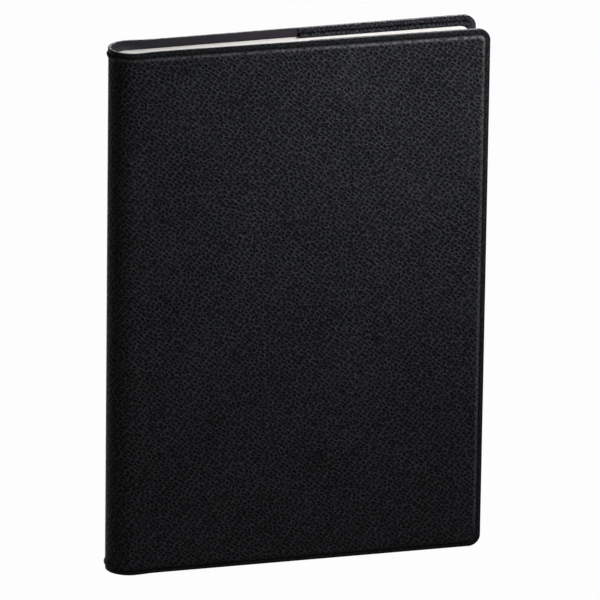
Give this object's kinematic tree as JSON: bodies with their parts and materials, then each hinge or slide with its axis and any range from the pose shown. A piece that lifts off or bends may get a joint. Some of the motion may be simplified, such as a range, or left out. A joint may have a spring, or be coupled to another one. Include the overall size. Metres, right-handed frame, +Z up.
{
  "type": "planner",
  "caption": "Closed planner: sewn paper block held by its card cover in the pockets of a padded black leatherette cover with a welded rim and a round spine.",
  "frame": {"origin": "on the surface it stands on, under the middle of the closed planner's box", "axes": "+X from the spine to the fore edge, -Y out of the front cover, +Z up along the spine"},
  "size_m": [0.1528, 0.023, 0.217],
  "materials": {
    "skin": "pebble-grained black leatherette, satin",
    "lining": "smooth dark grey lining film, matt",
    "foam": "soft grey foam sheet",
    "paper": "uncoated warm white paper",
    "card": "uncoated white card",
    "glue": "dried bookbinding glue with gauze in it"
  },
  "bodies": {
    "spine": {"spine_skin": "skin", "spine_pad": "foam", "spine_lining": "lining", "spine_card": "card", "spine_glue": "glue"},
    "front_cover": {"front_skin": "skin", "front_pad": "foam", "front_lining": "lining", "front_card": "card", "front_flap": "skin"},
    "back_cover": {"back_skin": "skin", "back_pad": "foam", "back_lining": "lining", "back_card": "card", "back_flap": "skin", "pocket_booklet": "paper"},
    "leaves_01": {"section_01": "paper"},
    "leaves_02": {"section_02": "paper"},
    "leaves_03": {"section_03": "paper"},
    "leaves_04": {"section_04": "paper"},
    "leaves_05": {"section_05": "paper"},
    "leaves_06": {"section_06": "paper"},
    "leaves_07": {"section_07": "paper"},
    "leaves_08": {"section_08": "paper"},
    "leaves_09": {"section_09": "paper"},
    "leaves_10": {"section_10": "paper"},
    "leaves_11": {"section_11": "paper"},
    "leaves_12": {"section_12": "paper"}
  },
  "joints": [
    {"name": "front_cover_hinge", "type": "hinge", "parent": "spine", "child": "front_cover", "pos_m": [-0.07366, -0.00728, 0], "axis": [0, 0, -1], "range_deg": [0, 95]},
    {"name": "back_cover_hinge", "type": "hinge", "parent": "spine", "child": "back_cover", "pos_m": [-0.07366, 0.00588, 0], "axis": [0, 0, 1], "range_deg": [0, 95]},
    {"name": "section_01_turn", "type": "hinge", "parent": "spine", "child": "leaves_01", "pos_m": [-0.07366, -0.00728, 0], "axis": [0, 0, -1], "range_deg": [0, 93.7]},
    {"name": "section_02_turn", "type": "hinge", "parent": "spine", "child": "leaves_02", "pos_m": [-0.07366, -0.00728, 0], "axis": [0, 0, -1], "range_deg": [0, 92.3]},
    {"name": "section_03_turn", "type": "hinge", "parent": "spine", "child": "leaves_03", "pos_m": [-0.07366, -0.00728, 0], "axis": [0, 0, -1], "range_deg": [0, 90.9]},
    {"name": "section_04_turn", "type": "hinge", "parent": "spine", "child": "leaves_04", "pos_m": [-0.07366, -0.00728, 0], "axis": [0, 0, -1], "range_deg": [0, 89.4]},
    {"name": "section_05_turn", "type": "hinge", "parent": "spine", "child": "leaves_05", "pos_m": [-0.07366, -0.00728, 0], "axis": [0, 0, -1], "range_deg": [0, 88]},
    {"name": "section_06_turn", "type": "hinge", "parent": "spine", "child": "leaves_06", "pos_m": [-0.07366, -0.00728, 0], "axis": [0, 0, -1], "range_deg": [0, 86.6]},
    {"name": "section_07_turn", "type": "hinge", "parent": "spine", "child": "leaves_07", "pos_m": [-0.07366, 0.00588, 0], "axis": [0, 0, 1], "range_deg": [0, 86.6]},
    {"name": "section_08_turn", "type": "hinge", "parent": "spine", "child": "leaves_08", "pos_m": [-0.07366, 0.00588, 0], "axis": [0, 0, 1], "range_deg": [0, 88]},
    {"name": "section_09_turn", "type": "hinge", "parent": "spine", "child": "leaves_09", "pos_m": [-0.07366, 0.00588, 0], "axis": [0, 0, 1], "range_deg": [0, 89.4]},
    {"name": "section_10_turn", "type": "hinge", "parent": "spine", "child": "leaves_10", "pos_m": [-0.07366, 0.00588, 0], "axis": [0, 0, 1], "range_deg": [0, 90.9]},
    {"name": "section_11_turn", "type": "hinge", "parent": "spine", "child": "leaves_11", "pos_m": [-0.07366, 0.00588, 0], "axis": [0, 0, 1], "range_deg": [0, 92.3]},
    {"name": "section_12_turn", "type": "hinge", "parent": "spine", "child": "leaves_12", "pos_m": [-0.07366, 0.00588, 0], "axis": [0, 0, 1], "range_deg": [0, 93.7]}
  ],
  "couplings": [
    {"joint": "section_01_turn", "follows": "front_cover_hinge", "ratio": 0.985},
    {"joint": "section_02_turn", "follows": "front_cover_hinge", "ratio": 0.97},
    {"joint": "section_03_turn", "follows": "front_cover_hinge", "ratio": 0.955},
    {"joint": "section_04_turn", "follows": "front_cover_hinge", "ratio": 0.94},
    {"joint": "section_05_turn", "follows": "front_cover_hinge", "ratio": 0.925},
    {"joint": "section_06_turn", "follows": "front_cover_hinge", "ratio": 0.91},
    {"joint": "section_07_turn", "follows": "back_cover_hinge", "ratio": 0.91},
    {"joint": "section_08_turn", "follows": "back_cover_hinge", "ratio": 0.925},
    {"joint": "section_09_turn", "follows": "back_cover_hinge", "ratio": 0.94},
    {"joint": "section_10_turn", "follows": "back_cover_hinge", "ratio": 0.955},
    {"joint": "section_11_turn", "follows": "back_cover_hinge", "ratio": 0.97},
    {"joint": "section_12_turn", "follows": "back_cover_hinge", "ratio": 0.985}
  ]
}
